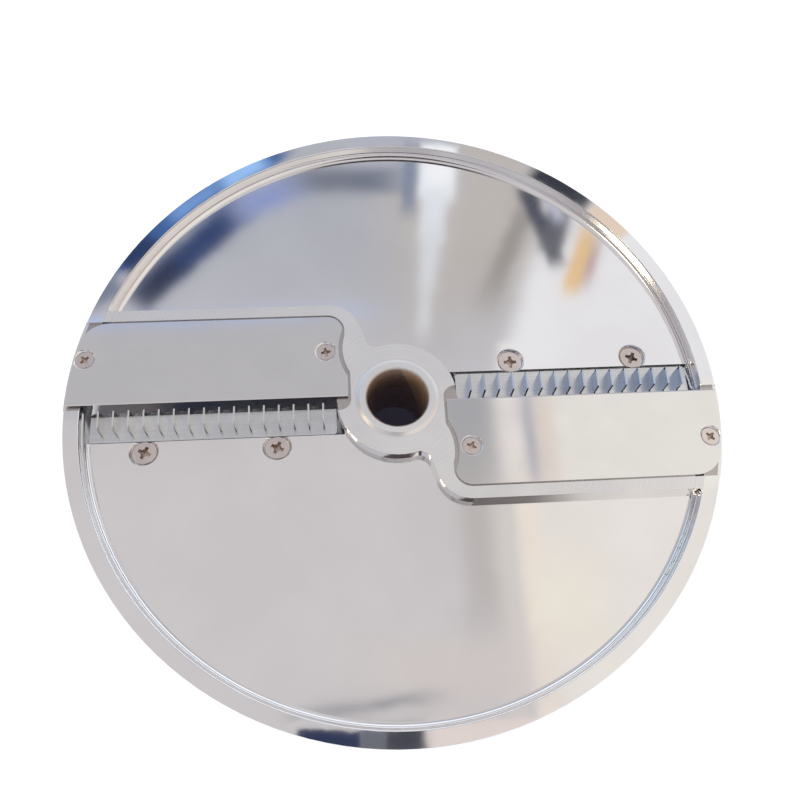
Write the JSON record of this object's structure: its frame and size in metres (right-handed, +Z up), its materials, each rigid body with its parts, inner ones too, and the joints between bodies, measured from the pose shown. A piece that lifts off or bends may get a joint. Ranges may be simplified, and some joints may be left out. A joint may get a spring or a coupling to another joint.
{
  "type": "julienne disc",
  "caption": "Round machined aluminium food cutting disc with a central hub bore, flat slicing blades level with the rim and upright toothed combs ahead of their edges.",
  "frame": {"origin": "centre of the hub sleeve's lower end, on the bore axis, the lowest point of the disc", "axes": "+Z up along the bore axis, towards the cutting side; X along the cutting edges; the comb of the half at -X lies on the -Y side of its edge"},
  "size_m": [0.205, 0.205, 0.032],
  "materials": {
    "disc_aluminium": "turned and polished aluminium, mirror rim, satin floors",
    "blade_steel": "fine ground stainless steel",
    "comb_steel": "stainless steel ground along its length",
    "tooth_steel": "thin ground stainless steel",
    "screw_steel": "bright stainless steel"
  },
  "bodies": {
    "root": {"disc_body": "disc_aluminium", "slicing_blade_a": "blade_steel", "slicing_blade_b": "blade_steel", "comb_bar_a": "comb_steel", "comb_bar_b": "comb_steel", "comb_tooth_a_01": "tooth_steel", "comb_tooth_a_02": "tooth_steel", "comb_tooth_a_03": "tooth_steel", "comb_tooth_a_04": "tooth_steel", "comb_tooth_a_05": "tooth_steel", "comb_tooth_a_06": "tooth_steel", "comb_tooth_a_07": "tooth_steel", "comb_tooth_a_08": "tooth_steel", "comb_tooth_a_09": "tooth_steel", "comb_tooth_a_10": "tooth_steel", "comb_tooth_a_11": "tooth_steel", "comb_tooth_a_12": "tooth_steel", "comb_tooth_a_13": "tooth_steel", "comb_tooth_a_14": "tooth_steel", "comb_tooth_a_15": "tooth_steel", "comb_tooth_a_16": "tooth_steel", "comb_tooth_b_01": "tooth_steel", "comb_tooth_b_02": "tooth_steel", "comb_tooth_b_03": "tooth_steel", "comb_tooth_b_04": "tooth_steel", "comb_tooth_b_05": "tooth_steel", "comb_tooth_b_06": "tooth_steel", "comb_tooth_b_07": "tooth_steel", "comb_tooth_b_08": "tooth_steel", "comb_tooth_b_09": "tooth_steel", "comb_tooth_b_10": "tooth_steel", "comb_tooth_b_11": "tooth_steel", "comb_tooth_b_12": "tooth_steel", "comb_tooth_b_13": "tooth_steel", "comb_tooth_b_14": "tooth_steel", "comb_tooth_b_15": "tooth_steel", "comb_tooth_b_16": "tooth_steel", "blade_screw_a_1": "screw_steel", "blade_screw_a_2": "screw_steel", "blade_screw_b_1": "screw_steel", "blade_screw_b_2": "screw_steel", "comb_screw_a_1": "screw_steel", "comb_screw_a_2": "screw_steel", "comb_screw_b_1": "screw_steel", "comb_screw_b_2": "screw_steel"}
  },
  "joints": []
}
